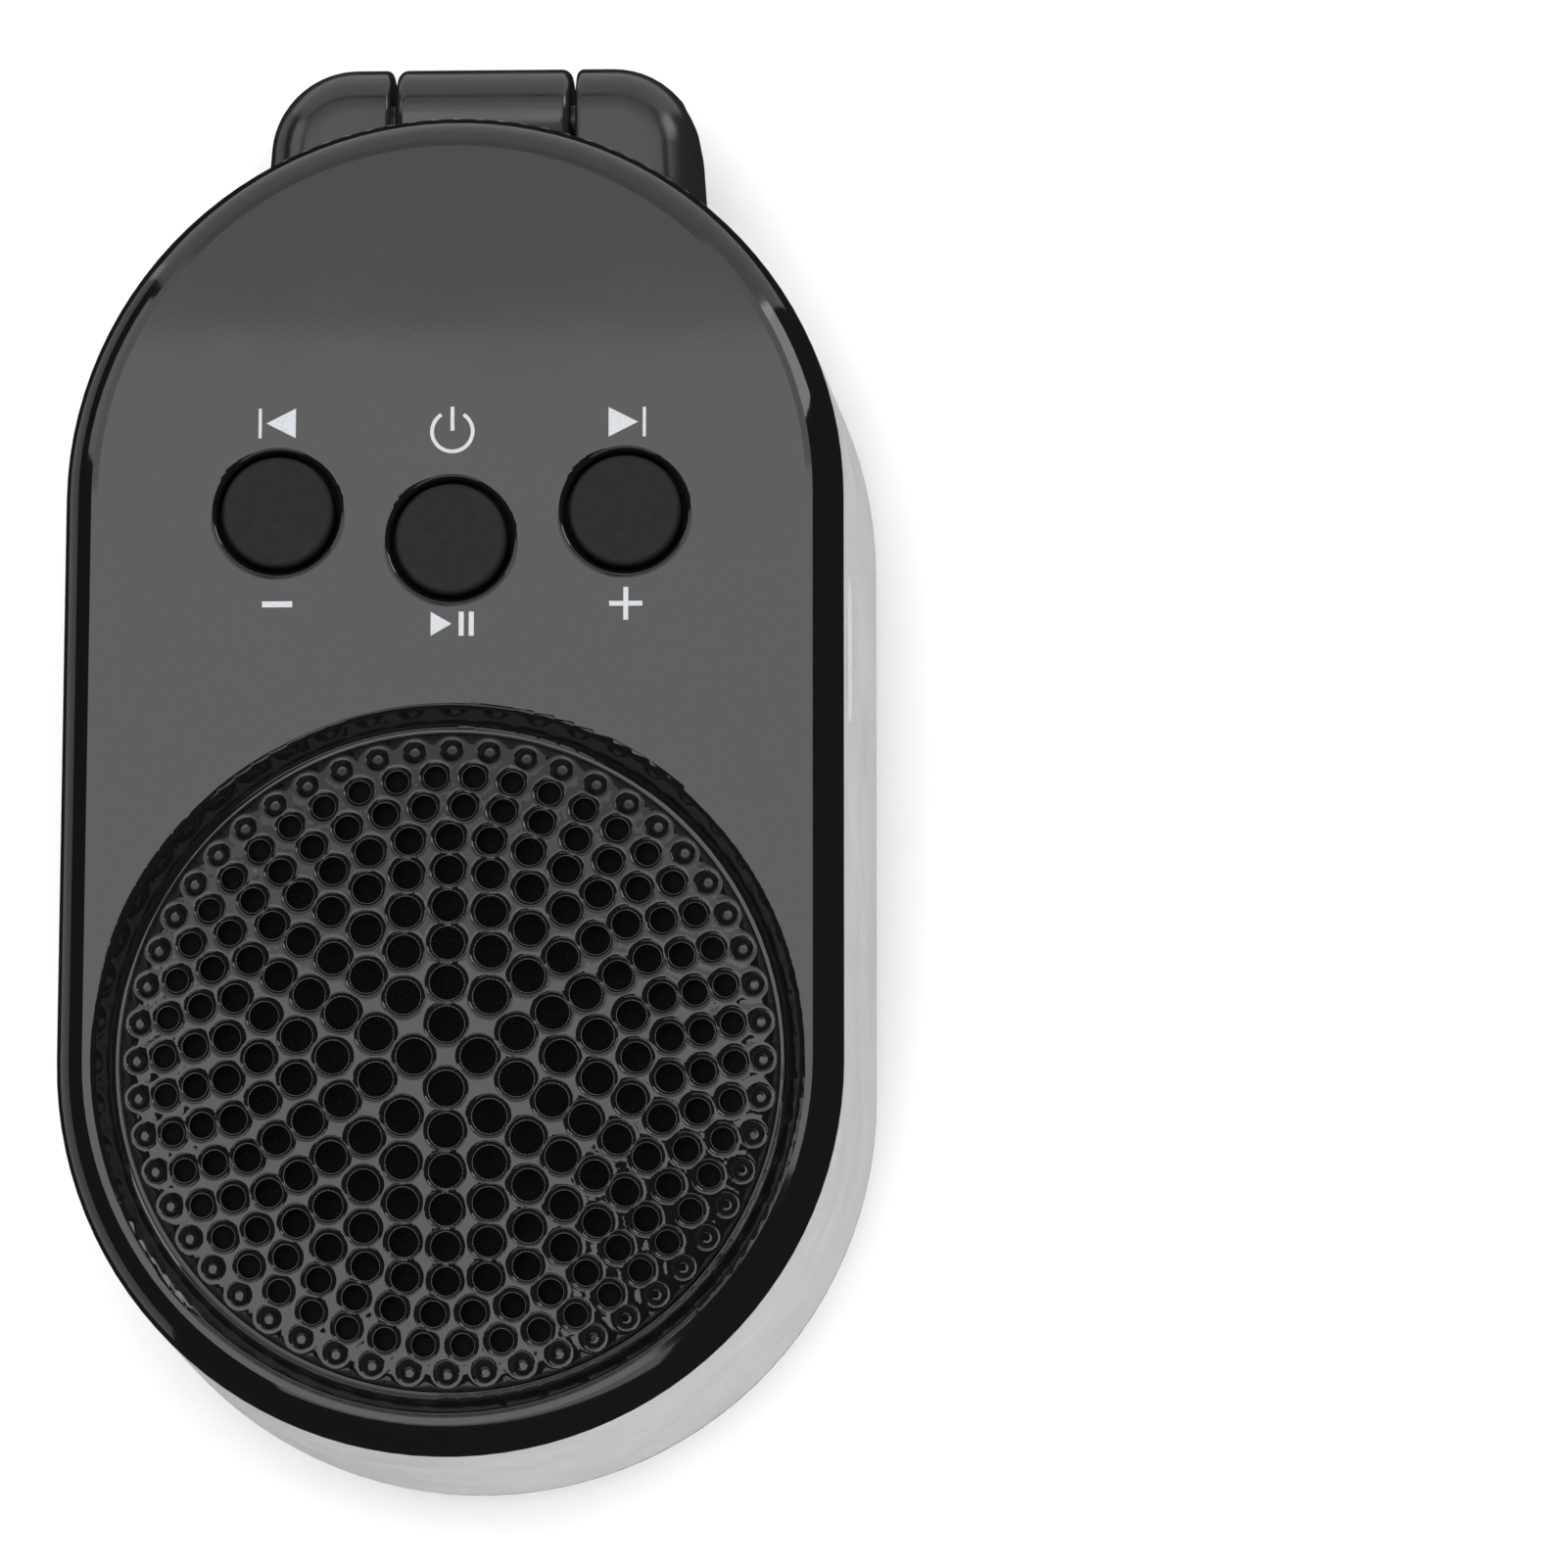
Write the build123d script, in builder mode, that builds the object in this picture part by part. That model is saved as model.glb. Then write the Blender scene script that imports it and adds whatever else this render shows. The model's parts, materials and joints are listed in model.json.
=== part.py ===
from build123d import *

import math
import os

# A clip-on shower speaker, lying on its back on its own clip. Millimetres.
# X is to the right, +Y runs to the hinge end and +Z out of the front. The origin lies on the
# clip's resting face, below the middle of the stadium-shaped case.

# ---------------------------------------------------------------- driving dimensions
arc_offset = 19.75  # middle of the case to the centre of each round end
cover_radius = 27.25  # round ends of the front cover at its widest
back_radius = 28.85  # round ends of the housing at its back
wall = 1.8  # housing wall
case_depth = 30.1  # back face to the seam under the front cover's rim
rim_height = 2.5
crease_radius = 25.15  # round ends of the crease between rim and front panel
clip_thickness = 3.0
clip_gap = 2.5

back_z = clip_thickness + clip_gap
plate_z = back_z + 1.5  # inside of the back cover's plate
seam_z = back_z + case_depth
panel_z = seam_z + rim_height
panel_under_z = seam_z + 0.3

# grille and recess, concentric with the lower round end
speaker_centre = (0, -arc_offset)
recess_radius = 24.8
shelf_z = 34.9  # the grille stands on this shelf in the recess
shelf_under_z = 33.7
shelf_opening = 17.6
dome_radius = 90.3
dome_top_z = 38.7
grille_skin = 1.0
grille_radius = 22.85
ring_radii = [2.22, 5.10, 7.87, 10.48, 13.01, 15.35, 17.58, 19.71]
hole_diameters = [2.50, 2.42, 2.34, 2.24, 2.06, 1.97, 1.78, 1.64]
dimple_ring_radius = 21.6
dimple_diameter = 1.35
dimple_depth = 0.7
dimple_count = 52
cloth_radius = 20.7
cloth_thickness = 0.25
ring_turns = [90, 90, 90, 90, 90, 90, 87, 93.2]  # angle of the first hole in each ring
holes_in_first_ring = 4
holes_more_per_ring = 6

# buttons
side_button_x = 12.1
side_button_y = 18.35
middle_button_y = 16.4
button_hole_radius = 4.2
button_edge_round = 0.6
button_radius = 3.9
button_proud = 0.2
button_flange_z = 34.5
button_flange_top = 35.2
button_flange_radius = 5.0
button_top_round = 0.35
stem_radius = 1.6

# main board and switches
board_top = 29.2
board_under = 28.2
board_radius = 23.2
board_low_y = 1.8
switch_size = 6.0
switch_top = 32.7
plunger_top = 34.2
switch_lid_z = switch_top - 0.5
plunger_shoulder_z = switch_top - 0.8
plunger_shoulder_radius = 2.0
switch_foot_span = 8.0
switch_foot_width = 0.8
port_y = 9.72
port_z = 30.85
port_width = 8.94
port_height = 3.26

# hinge and clip
hinge_y = 53.0
hinge_z = 11.5
barrel_radius = 3.85
hinge_top_y = hinge_y + barrel_radius
ear_half_gap = 6.85
knuckle_half = 6.5
pin_radius = 1.25
clip_tip_y = -26.0
clip_half_width = 12.0
pin_clearance = 0.05
pad_y = -17.0
pad_width = 16.0
pad_length = 11.0
pad_depth = 0.8
pad_proud = 1.8
spring_pocket_half = 3.3
spring_radius = 2.2
spring_wire = 0.6
spring_pitch = 0.9
spring_turns = 4.75
spring_long_leg = 4.2
spring_short_leg = 3.3

case_screw_angle_top = 35
case_screw_angle_bottom = 40
case_screw_radius = 21.6
post_radius = 2.2
post_foot_z = 10.0
case_pilot_radius = 1.0
case_pilot_depth = 9.0
board_post_radius = 1.9
board_pilot_radius = 0.8
driver_boss_radius = 1.9
driver_boss_height = 0.7
seal_groove_depth = 0.6
gap = 0.3

board_screw_points = [(-9.5, 4.0), (9.5, 4.0), (-12.0, 37.0), (12.0, 37.0)]
button_points = {
    "prev": (-side_button_x, side_button_y),
    "play": (0, middle_button_y),
    "next": (side_button_x, side_button_y),
}


def ring_point(radius, degrees, centre):
    """The point at that radius and angle about a centre."""
    angle = math.radians(degrees)
    return (centre[0] + radius * math.cos(angle), centre[1] + radius * math.sin(angle))


case_screw_points = [
    ring_point(case_screw_radius, case_screw_angle_top, (0, arc_offset)),
    ring_point(case_screw_radius, 180 - case_screw_angle_top, (0, arc_offset)),
    ring_point(case_screw_radius, -case_screw_angle_bottom, speaker_centre),
    ring_point(case_screw_radius, 180 + case_screw_angle_bottom, speaker_centre),
]
driver_screw_radius = 20.3
driver_screw_points = [ring_point(driver_screw_radius, turn, speaker_centre) for turn in (0, 90, 180, 270)]


def stadium_block(radius, low, high, mode=Mode.ADD):
    """An upright block with the case's stadium outline."""
    with BuildSketch(Plane.XY.offset(low)) as outline:
        SlotCenterToCenter(2 * arc_offset, 2 * radius, rotation=90)
    extrude(outline.sketch, amount=high - low, mode=mode)


def stadium_taper(low_radius, low, high_radius, high, mode=Mode.ADD):
    """A tapered block between two stadium outlines."""
    with BuildSketch(Plane.XY.offset(low)) as lower:
        SlotCenterToCenter(2 * arc_offset, 2 * low_radius, rotation=90)
    with BuildSketch(Plane.XY.offset(high)) as upper:
        SlotCenterToCenter(2 * arc_offset, 2 * high_radius, rotation=90)
    loft([lower.sketch, upper.sketch], ruled=True, mode=mode)


def stadium_ring(inner, outer, low, high, mode=Mode.ADD):
    """An upright ring between two stadium outlines."""
    with BuildSketch(Plane.XY.offset(low)) as outline:
        SlotCenterToCenter(2 * arc_offset, 2 * outer, rotation=90)
        SlotCenterToCenter(2 * arc_offset, 2 * inner, rotation=90, mode=Mode.SUBTRACT)
    extrude(outline.sketch, amount=high - low, mode=mode)


def rods(points, radius, low, high, mode=Mode.ADD):
    """Upright round rods or holes at the given points."""
    with BuildSketch(Plane.XY.offset(low)) as circles:
        with Locations(*points):
            Circle(radius)
    extrude(circles.sketch, amount=high - low, mode=mode)


def block(x, y, z, mode=Mode.ADD):
    """A box given by its low and high limit along each axis."""
    with BuildSketch(Plane.XY.offset(z[0])) as base:
        with Locations(((x[0] + x[1]) / 2, (y[0] + y[1]) / 2)):
            Rectangle(x[1] - x[0], y[1] - y[0])
    extrude(base.sketch, amount=z[1] - z[0], mode=mode)


def turned(points, mode=Mode.ADD):
    """A body turned about the driver's axis from a closed outline of (radius, height) points."""
    with BuildSketch(Plane.XZ.offset(arc_offset)) as section:
        with BuildLine():
            Polyline(*points, close=True)
        make_face()
    revolve(section.sketch, axis=Axis((0, -arc_offset, 0), (0, 0, 1)), mode=mode)


def cross_recess(points, low, depth, size):
    """Cuts a cross-head driver recess upwards into screw heads that face down."""
    with BuildSketch(Plane.XY.offset(low)) as cross:
        with Locations(*points):
            Rectangle(size, size * 0.22)
            Rectangle(size * 0.22, size)
    extrude(cross.sketch, amount=depth, mode=Mode.SUBTRACT)


def screws(points, head_low, head_high, head_radius, shank_radius, tip_z, cut_high):
    """Pan-head screws that point up; the cross recess is in the underside of each head."""
    rods(points, head_radius, head_low, head_high)
    rods(points, shank_radius, head_high, tip_z)
    cross_recess(points, head_low, cut_high - head_low, head_radius * 1.25)


# ---------------------------------------------------------------- case shells

# Front cover: flat panel with a convex bevelled rim, locating skirt, speaker bowl and posts.
skirt_radius = 25.2
skirt_inner = 24.0
skirt_foot_z = 32.6
seal_low = 33.5
seal_high = 34.5
core_radius = 20.0
boss_foot_z = shelf_under_z - driver_boss_height
groove_radius = skirt_radius - seal_groove_depth
case_pilot_top = post_foot_z + case_pilot_depth
seat_radius = 22.95  # the grille sits inside this
cove_radius = 0.7
cove_foot_z = 35.6
cove_foot_slope = math.radians(5)
lip_radius = 0.6
recess_slope = math.radians(67.3)  # slope of the recess's wall between its lip and the cove
lip_foot = (
    recess_radius - lip_radius * math.sin(recess_slope),
    panel_z - lip_radius * (1 - math.cos(recess_slope)),
)
cove_head = (
    seat_radius + cove_radius * (math.sin(recess_slope) - math.sin(cove_foot_slope)),
    cove_foot_z + cove_radius * (math.cos(cove_foot_slope) - math.cos(recess_slope)),
)
panel_fall = 0.08
panel_fall_width = 0.45
rim_bulge = 0.36

with BuildPart() as front_cover:
    with BuildLine(Plane.XY) as rim_path:
        Line((cover_radius, -arc_offset), (cover_radius, arc_offset))
        CenterArc((0, arc_offset), cover_radius, 0, 180)
        Line((-cover_radius, arc_offset), (-cover_radius, -arc_offset))
        CenterArc((0, -arc_offset), cover_radius, 180, 180)
    with BuildSketch(Plane.XZ.offset(arc_offset)) as rim_section:
        with BuildLine():
            Polyline(
                (crease_radius, panel_z - panel_fall),
                (crease_radius - panel_fall_width, panel_z),
                (core_radius, panel_z),
                (core_radius, panel_under_z),
                (skirt_inner, panel_under_z),
                (skirt_inner, skirt_foot_z),
                (skirt_radius, skirt_foot_z),
                (skirt_radius, seam_z),
                (cover_radius, seam_z),
            )
            SagittaArc(
                (cover_radius, seam_z), (crease_radius, panel_z - panel_fall), -rim_bulge
            )
        make_face()
    sweep(rim_section.sketch, path=rim_path.line)
    stadium_block(core_radius + 1, panel_under_z, panel_z)
    rods([speaker_centre], recess_radius - 0.6, shelf_under_z, panel_z)
    rods(case_screw_points, post_radius, post_foot_z, panel_under_z)
    rods(board_screw_points, board_post_radius, board_top, panel_under_z)
    with BuildSketch(Plane.XZ.offset(arc_offset)) as recess_section:
        with BuildLine():
            Polyline(
                (seat_radius, cove_foot_z),
                (seat_radius, shelf_z),
                (0, shelf_z),
                (0, panel_z + 1),
                (recess_radius, panel_z + 1),
                (recess_radius, panel_z),
            )
            RadiusArc((recess_radius, panel_z), lip_foot, -lip_radius)
            Line(lip_foot, cove_head)
            RadiusArc(cove_head, (seat_radius, cove_foot_z), cove_radius)
        make_face()
    revolve(recess_section.sketch, axis=Axis((0, -arc_offset, 0), (0, 0, 1)), mode=Mode.SUBTRACT)
    rods([speaker_centre], shelf_opening, shelf_under_z, shelf_z, mode=Mode.SUBTRACT)
    rods(button_points.values(), button_hole_radius, panel_under_z, panel_z, mode=Mode.SUBTRACT)
    button_rims = front_cover.edges().filter_by(GeomType.CIRCLE).group_by(Axis.Z)[-1]
    fillet(
        button_rims.filter_by(lambda edge: abs(edge.radius - button_hole_radius) < 0.01),
        radius=button_edge_round,
    )
    rods(case_screw_points, case_pilot_radius, post_foot_z, case_pilot_top, mode=Mode.SUBTRACT)
    rods(board_screw_points, board_pilot_radius, board_top, board_top + 5, mode=Mode.SUBTRACT)
    rods(driver_screw_points, driver_boss_radius, boss_foot_z, shelf_under_z)
    rods(driver_screw_points, board_pilot_radius, boss_foot_z, shelf_z - 0.3, mode=Mode.SUBTRACT)
    stadium_ring(groove_radius, skirt_radius + 0.1, seal_low, seal_high, mode=Mode.SUBTRACT)

# Rubber ring in the skirt's groove, pressed against the housing's inside.
with BuildPart() as front_seal:
    stadium_ring(groove_radius, skirt_radius + 0.25, seal_low, seal_high)

# Housing: the light band that flares towards the back, open at both ends.
port_slot_length = 10.2
port_slot_width = 3.4
port_slot_chamfer = 0.25

with BuildPart() as housing:
    stadium_taper(back_radius, plate_z, cover_radius, seam_z)
    stadium_taper(back_radius - wall, plate_z, cover_radius - wall, seam_z, mode=Mode.SUBTRACT)
    with BuildSketch(Plane.YZ.offset(cover_radius - wall - 2)) as port_slot:
        with Locations((port_y, port_z)):
            SlotOverall(port_slot_length, port_slot_width)
    extrude(port_slot.sketch, amount=wall + 5, mode=Mode.SUBTRACT)
    outer_edges = housing.edges().filter_by(lambda edge: edge.center().X > cover_radius)
    slot_edges = outer_edges.filter_by(lambda edge: abs(edge.center().Z - port_z) < port_slot_width)
    slot_edges = slot_edges.filter_by(lambda edge: abs(edge.center().Y - port_y) < port_slot_length)
    chamfer(slot_edges, length=port_slot_chamfer)

# Back cover: plate with a rounded edge, inner skirt, screw bosses, grip ribs and hinge ears.
rear_skirt_outer = 26.7
rear_skirt_inner = 25.4
rear_skirt_top = 9.4
rear_seal_low = 7.7
rear_seal_high = 8.7
rear_groove_radius = rear_skirt_outer - seal_groove_depth
boss_radius = 2.7
screw_hole_radius = 1.15
screw_seat_radius = 2.2
screw_seat_depth = 1.9
screw_head_radius = 2.0
screw_shank_radius = 0.95
ear_low_half = 16.75
ear_top_half = 15.55
ear_low_y = 40.0
ear_corner = 6.5
ear_front_z = hinge_z + barrel_radius
ear_inner_round = 0.5
ear_back_round = 6.0
pin_half = 13.2
hinge_window_y = 47.4
grip_ribs = 5
grip_pitch = 2.0
grip_low_y = -21.5
grip_half_width = 8.0
grip_rib_width = 0.9
grip_rib_height = 0.4
grip_foot_z = back_z - grip_rib_height


def inner_ear_edges(ears):
    """The edges where the ears' facing sides meet their fronts and tops."""
    facing = ears.edges().filter_by(lambda edge: abs(abs(edge.center().X) - ear_half_gap) < 0.01)
    return facing.filter_by(lambda edge: edge.center().Z > back_z + 0.1 and edge.center().Y > ear_low_y + 0.1)


with BuildPart() as hinge_block:
    with BuildSketch(Plane.XY.offset(back_z)) as ear_plan:
        with BuildLine():
            Polyline(
                (-ear_low_half, ear_low_y),
                (-ear_top_half, hinge_top_y),
                (ear_top_half, hinge_top_y),
                (ear_low_half, ear_low_y),
                close=True,
            )
        make_face()
        fillet(ear_plan.vertices().group_by(Axis.Y)[-1], radius=ear_corner)
    extrude(ear_plan.sketch, amount=ear_front_z - back_z)
    front_edges = hinge_block.edges().group_by(Axis.Z)[-1]
    fillet(front_edges.filter_by(lambda edge: edge.center().Y > ear_low_y + 0.1), radius=barrel_radius)
    with BuildSketch(Plane.YZ.offset(-ear_low_half - 1)) as ear_side:
        with BuildLine():
            Line((ear_low_y, back_z), (hinge_top_y - ear_back_round, back_z))
            RadiusArc((hinge_top_y - ear_back_round, back_z), (hinge_top_y, hinge_z), -ear_back_round)
            Polyline(
                (hinge_top_y, hinge_z),
                (hinge_top_y, ear_front_z),
                (ear_low_y, ear_front_z),
                (ear_low_y, back_z),
            )
        make_face()
    extrude(ear_side.sketch, amount=2 * ear_low_half + 2, mode=Mode.INTERSECT)
    block((-ear_half_gap, ear_half_gap), (ear_low_y, hinge_top_y + 1), (back_z, 20), mode=Mode.SUBTRACT)
    fillet(inner_ear_edges(hinge_block), radius=ear_inner_round)
    stadium_taper(back_radius + 0.05, plate_z, cover_radius + 0.05, seam_z, mode=Mode.SUBTRACT)
    with BuildSketch(Plane.YZ.offset(-pin_half)) as pin_bore:
        with Locations((hinge_y, hinge_z)):
            Circle(pin_radius)
    extrude(pin_bore.sketch, amount=2 * pin_half + 6, mode=Mode.SUBTRACT)

with BuildPart() as back_cover:
    stadium_block(back_radius, back_z, plate_z)
    fillet(back_cover.edges().group_by(Axis.Z)[0], radius=1.0)
    add(hinge_block.part)
    stadium_ring(rear_skirt_inner, rear_skirt_outer, plate_z, rear_skirt_top)
    stadium_ring(rear_groove_radius, rear_skirt_outer, rear_seal_low, rear_seal_high, mode=Mode.SUBTRACT)
    window_y = (hinge_window_y, hinge_top_y + 1)
    block((-ear_half_gap, ear_half_gap), window_y, (back_z, plate_z), mode=Mode.SUBTRACT)
    rods(case_screw_points, boss_radius, plate_z, post_foot_z)
    rods(case_screw_points, screw_hole_radius, back_z, post_foot_z, mode=Mode.SUBTRACT)
    rods(case_screw_points, screw_seat_radius, back_z, back_z + screw_seat_depth, mode=Mode.SUBTRACT)
    for rib in range(grip_ribs):
        rib_y = grip_low_y + rib * grip_pitch
        block((-grip_half_width, grip_half_width), (rib_y, rib_y + grip_rib_width), (grip_foot_z, back_z))

# Rubber ring in the back cover's skirt, pressed against the housing's inside.
with BuildPart() as rear_seal:
    stadium_ring(rear_groove_radius, rear_skirt_outer + 0.2, rear_seal_low, rear_seal_high)

# Four long-life screws that hold back cover, housing and front cover together.
with BuildPart() as case_screws:
    head_top_z = back_z + screw_seat_depth
    screws(
        case_screw_points,
        head_low=head_top_z - 1.4,
        head_high=head_top_z,
        head_radius=screw_head_radius,
        shank_radius=screw_shank_radius,
        tip_z=post_foot_z + 6,
        cut_high=head_top_z - 0.7,
    )

# ---------------------------------------------------------------- grille

# Domed skin on a foot ring, with eight rings of holes and a ring of blind dimples.
grille_edge_z = dome_top_z - dome_radius + math.sqrt(dome_radius**2 - grille_radius**2)
grille_foot_inner = 20.9
dimple_floor_z = (
    dome_top_z - dome_radius + math.sqrt(dome_radius**2 - dimple_ring_radius**2) - dimple_depth
)
under_radius = dome_radius - grille_skin
under_top_z = dome_top_z - grille_skin
under_edge_z = under_top_z - under_radius + math.sqrt(under_radius**2 - grille_foot_inner**2)

with BuildPart() as speaker_grille:
    with BuildSketch(Plane.XZ.offset(arc_offset)) as dome_section:
        with BuildLine():
            RadiusArc((0, dome_top_z), (grille_radius, grille_edge_z), dome_radius)
            Polyline(
                (grille_radius, grille_edge_z),
                (grille_radius, shelf_z),
                (grille_foot_inner, shelf_z),
                (grille_foot_inner, under_edge_z),
            )
            RadiusArc((grille_foot_inner, under_edge_z), (0, under_top_z), -under_radius)
            Line((0, under_top_z), (0, dome_top_z))
        make_face()
    revolve(dome_section.sketch, axis=Axis((0, -arc_offset, 0), (0, 0, 1)))
    with BuildSketch(Plane.XY.offset(shelf_z)) as grille_holes:
        for ring, (radius, diameter, turn) in enumerate(zip(ring_radii, hole_diameters, ring_turns)):
            with Locations(speaker_centre):
                count = holes_in_first_ring + holes_more_per_ring * ring
                with PolarLocations(radius, count, start_angle=turn):
                    Circle(diameter / 2)
    extrude(grille_holes.sketch, amount=dome_top_z - shelf_z, mode=Mode.SUBTRACT)
    with BuildSketch(Plane.XY.offset(dimple_floor_z)) as dimples:
        with Locations(speaker_centre):
            with PolarLocations(dimple_ring_radius, dimple_count, start_angle=90):
                Circle(dimple_diameter / 2)
    extrude(dimples.sketch, amount=dimple_depth + 1, mode=Mode.SUBTRACT)

# Dust cloth on the shelf, inside the grille's foot.
with BuildPart() as grille_cloth:
    rods([speaker_centre], cloth_radius, shelf_z, shelf_z + cloth_thickness)

# ---------------------------------------------------------------- buttons


def button(point):
    """A round cap with a retaining flange and a stem that reaches the switch plunger."""
    with BuildPart() as cap:
        rods([point], button_radius, button_flange_top, panel_z + button_proud)
        fillet(cap.edges().group_by(Axis.Z)[-1], radius=button_top_round)
        rods([point], button_flange_radius, button_flange_z, button_flange_top)
        rods([point], stem_radius, plunger_top, button_flange_z)
    return cap


def switch_plunger(point):
    """The pressed part of a tactile switch: a shouldered pin."""
    with BuildPart() as plunger:
        rods([point], stem_radius, plunger_shoulder_z, plunger_top)
        rods([point], plunger_shoulder_radius, plunger_shoulder_z - 0.4, plunger_shoulder_z)
    return plunger


button_prev = button(button_points["prev"])
button_play = button(button_points["play"])
button_next = button(button_points["next"])
switch_plunger_prev = switch_plunger(button_points["prev"])
switch_plunger_play = switch_plunger(button_points["play"])
switch_plunger_next = switch_plunger(button_points["next"])

# Three square switch bodies with soldered feet, on the main board.
with BuildPart() as switch_bodies:
    with BuildSketch(Plane.XY.offset(board_top)) as switch_feet:
        with Locations(*button_points.values()):
            with GridLocations(0, 4.4, 1, 2):
                Rectangle(switch_foot_span, switch_foot_width)
    extrude(switch_feet.sketch, amount=0.25)
    with BuildSketch(Plane.XY.offset(board_top)) as switch_outline:
        with Locations(*button_points.values()):
            Rectangle(switch_size, switch_size)
    extrude(switch_outline.sketch, amount=switch_top - board_top)
    points = button_points.values()
    rods(points, plunger_shoulder_radius + gap, switch_top - 2, switch_lid_z, mode=Mode.SUBTRACT)
    rods(points, stem_radius + gap, switch_lid_z, switch_top, mode=Mode.SUBTRACT)

# Rubber sheet under the front panel; each flange closes against it.
sheet_thickness = 0.45
sheet_y = 17.6
sheet_width = 37.0
sheet_length = 13.6

with BuildPart() as keypad_seal:
    with BuildSketch(Plane.XY.offset(panel_under_z - sheet_thickness)) as seal_sheet:
        with Locations((0, sheet_y)):
            RectangleRounded(sheet_width, sheet_length, 5)
        with Locations(*button_points.values()):
            Circle(button_radius + gap, mode=Mode.SUBTRACT)
    extrude(seal_sheet.sketch, amount=sheet_thickness)

# ---------------------------------------------------------------- main board

board_cutouts = case_screw_points[:2]
with BuildPart() as main_board:
    with BuildSketch(Plane.XY.offset(board_under)) as board_outline:
        SlotCenterToCenter(2 * arc_offset, 2 * board_radius, rotation=90)
        with Locations((0, board_low_y - 50)):
            Rectangle(100, 100, mode=Mode.SUBTRACT)
        with Locations(*board_cutouts):
            Circle(post_radius + 0.4, mode=Mode.SUBTRACT)
        with Locations(*board_screw_points):
            Circle(1.0, mode=Mode.SUBTRACT)
    extrude(board_outline.sketch, amount=board_top - board_under)

with BuildPart() as board_screws:
    screws(
        board_screw_points,
        head_low=board_under - 1.2,
        head_high=board_under,
        head_radius=1.6,
        shank_radius=0.75,
        tip_z=board_top + 4,
        cut_high=board_under - 0.5,
    )

with BuildPart() as control_chip:
    block((-11, -4), (17, 24), (board_under - 0.9, board_under))
    chamfer(control_chip.edges().group_by(Axis.Z)[0], length=0.2)

with BuildPart() as amplifier_chip:
    block((3.5, 8.5), (10, 14), (board_under - 1.5, board_under - 0.1))
    block((2.7, 9.3), (10.3, 13.7), (board_under - 0.35, board_under))

capacitor_points = [(13.5, 14.0), (13.5, 20.5), (13.5, 27.0)]
with BuildPart() as capacitors:
    rods(capacitor_points, 2.5, board_under - 5.4, board_under - 0.4)
    fillet(capacitors.edges().group_by(Axis.Z)[0], radius=0.3)
    with BuildSketch(Plane.XY.offset(board_under - 0.4)) as capacitor_bases:
        with Locations(*capacitor_points):
            Rectangle(5.3, 5.3)
    extrude(capacitor_bases.sketch, amount=0.4)

with BuildPart() as power_inductor:
    block((2, 7), (18, 23), (board_under - 2.4, board_under))
    fillet(power_inductor.edges().filter_by(Axis.Z), radius=0.8)

with BuildPart() as crystal:
    block((-13.5, -10.3), (26, 28.5), (board_under - 0.8, board_under))

with BuildPart() as chip_resistors:
    with BuildSketch(Plane.XY.offset(board_under - 0.5)) as resistor_outlines:
        with GridLocations(2.2, 2.0, 5, 3):
            with Locations((-4.5, 30.5)):
                Rectangle(1.6, 0.8)
    extrude(resistor_outlines.sketch, amount=0.5)

with BuildPart() as chip_antenna:
    block((-3.5, 3.5), (40.2, 42.2), (board_under - 1.2, board_under))


def wire_socket(x, y, mouth_side):
    """A two-way socket under the board; mouth_side is -1 or 1, for a mouth towards -Y or +Y."""
    with BuildPart() as socket:
        block((x - 3.2, x + 3.2), (y, y + 4.5), (board_under - 4.2, board_under))
        mouth_low = y if mouth_side < 0 else y + 1.5
        mouth_z = (board_under - 3.5, board_under - 0.7)
        block((x - 2.5, x + 2.5), (mouth_low, mouth_low + 3), mouth_z, mode=Mode.SUBTRACT)
    return socket


speaker_socket = wire_socket(4.0, 4.5, -1)
battery_socket = wire_socket(-16.0, 8.0, 1)

# USB-C receptacle: folded steel shell with its tongue, standing on the board's edge.
port_mouth_x = 26.2
port_back_x = 19.0
with BuildPart() as usb_port_shell:
    with BuildSketch(Plane.YZ.offset(port_back_x)) as shell_outline:
        with Locations((port_y, port_z)):
            SlotOverall(port_width, port_height)
    extrude(shell_outline.sketch, amount=port_mouth_x - port_back_x)
    with BuildSketch(Plane.YZ.offset(port_back_x + 0.8)) as shell_mouth:
        with Locations((port_y, port_z)):
            SlotOverall(port_width - 0.6, port_height - 0.6)
    extrude(shell_mouth.sketch, amount=port_mouth_x - port_back_x, mode=Mode.SUBTRACT)

with BuildPart() as usb_port_tongue:
    tongue_back_x = port_back_x + 0.8
    tongue_y = (port_y - 3.3, port_y + 3.3)
    block((tongue_back_x, port_mouth_x - 0.9), tongue_y, (port_z - 0.35, port_z + 0.35))
    block((tongue_back_x, tongue_back_x + 1.4), tongue_y, (port_z - 0.9, port_z + 0.9))

# ---------------------------------------------------------------- battery

battery_low = 8.0
battery_high = 13.8
with BuildPart() as battery:
    block((-15, 15), (3, 37), (battery_low, battery_high))
    fillet(battery.edges().filter_by(Axis.Y), radius=1.6)
    block((-14, 14), (37, 39.5), (battery_low + 2.2, battery_low + 3.2))

with BuildPart() as battery_tape:
    block((-12, 12), (6, 34), (plate_z, battery_low))


def wire(points, radius, bend):
    """A round insulated wire along straight runs with rounded corners."""
    with BuildPart() as lead:
        with BuildLine() as route:
            FilletPolyline(*points, radius=bend)
        with BuildSketch(Plane(origin=route.line @ 0, z_dir=route.line % 0)) as end:
            Circle(radius)
        sweep(end.sketch, path=route.line)
    return lead


def wire_pair(points, radius, bend, apart):
    """Two wires side by side in X, as one node."""
    left, right = (
        wire([(x + side, y, z) for x, y, z in points], radius, bend) for side in (-apart / 2, apart / 2)
    )
    with BuildPart() as pair:
        add(left.part)
        add(right.part)
    return pair


# ---------------------------------------------------------------- driver

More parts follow.
